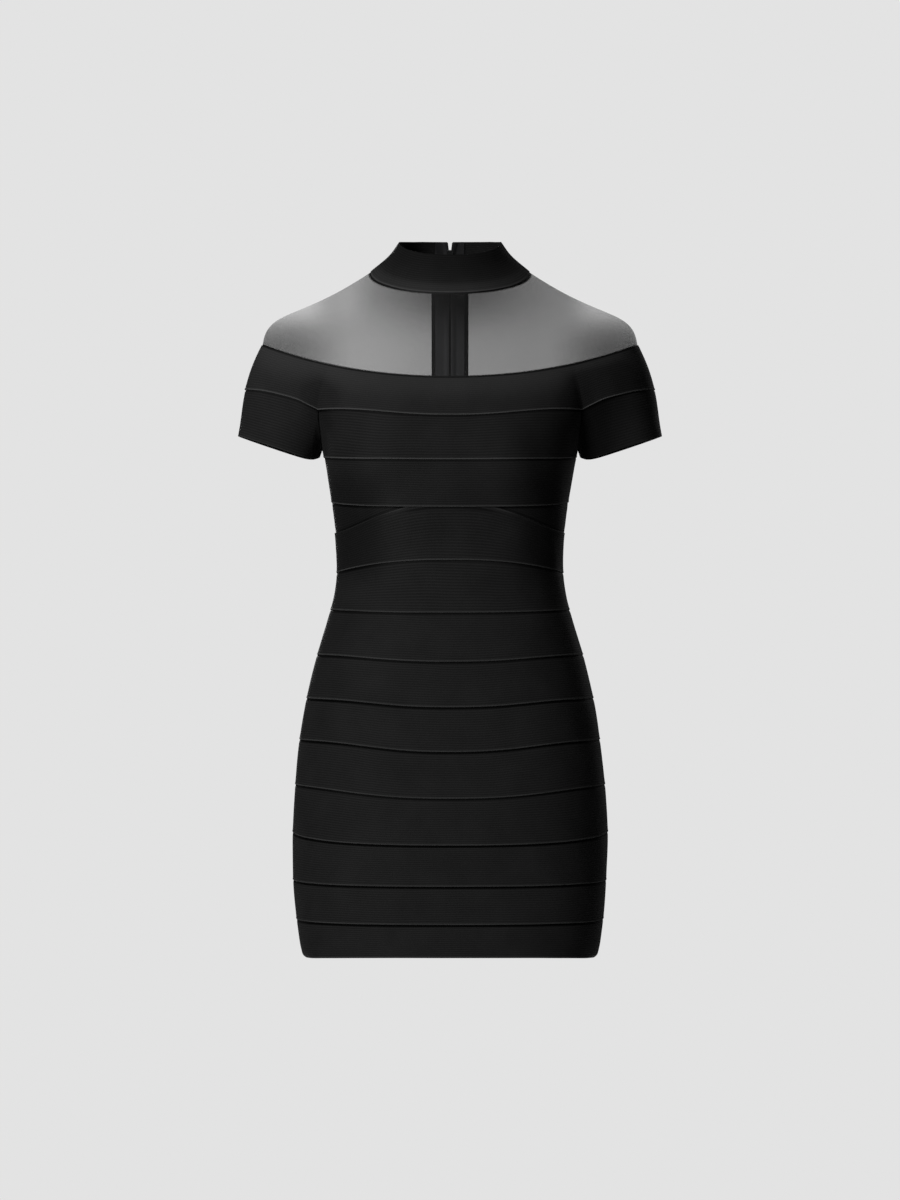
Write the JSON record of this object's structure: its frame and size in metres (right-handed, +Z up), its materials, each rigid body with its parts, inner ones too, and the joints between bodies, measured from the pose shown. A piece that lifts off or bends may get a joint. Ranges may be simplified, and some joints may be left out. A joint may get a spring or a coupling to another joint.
{
  "type": "bodycon dress",
  "caption": "Knee-baring bodycon dress of wide knit bands with a sheer net yoke, a stand collar, short sleeves and a zip down the centre back.",
  "frame": {"origin": "middle of the neck opening, level with the collar's base where it crosses the shoulders", "axes": "+Z up along the wearer's body, +X towards the wearer's left, -Y towards the front"},
  "size_m": [0.4858, 0.246, 0.8252],
  "materials": {
    "knit": "black bandage knit, matte",
    "net": "sheer black stretch net",
    "zip_tape": "woven black tape",
    "zip_coil": "satin black coil",
    "zip_metal": "black enamel, semi-gloss"
  },
  "bodies": {
    "dress": {"collar": "knit", "yoke_front": "net", "yoke_back_left": "net", "yoke_back_right": "net", "placket_left": "knit", "placket_right": "knit", "band_01": "knit", "band_02": "knit", "band_03": "knit", "band_04_left": "knit", "band_04_right": "knit", "band_05": "knit", "band_06": "knit", "band_07": "knit", "band_08": "knit", "band_09": "knit", "band_10": "knit", "band_11": "knit", "band_12": "knit", "band_13": "knit", "band_14": "knit", "sleeve_left": "knit", "sleeve_right": "knit", "zip_tape_left": "zip_tape", "zip_tape_right": "zip_tape", "zip_chain": "zip_coil", "zip_slider": "zip_metal"},
    "pull": {"zip_pull": "zip_metal"}
  },
  "joints": [
    {"name": "pull_hinge", "type": "hinge", "parent": "dress", "child": "pull", "pos_m": [0, 0.06105, 0.02212], "axis": [1, 0, 0], "range_deg": [0, 135]}
  ]
}
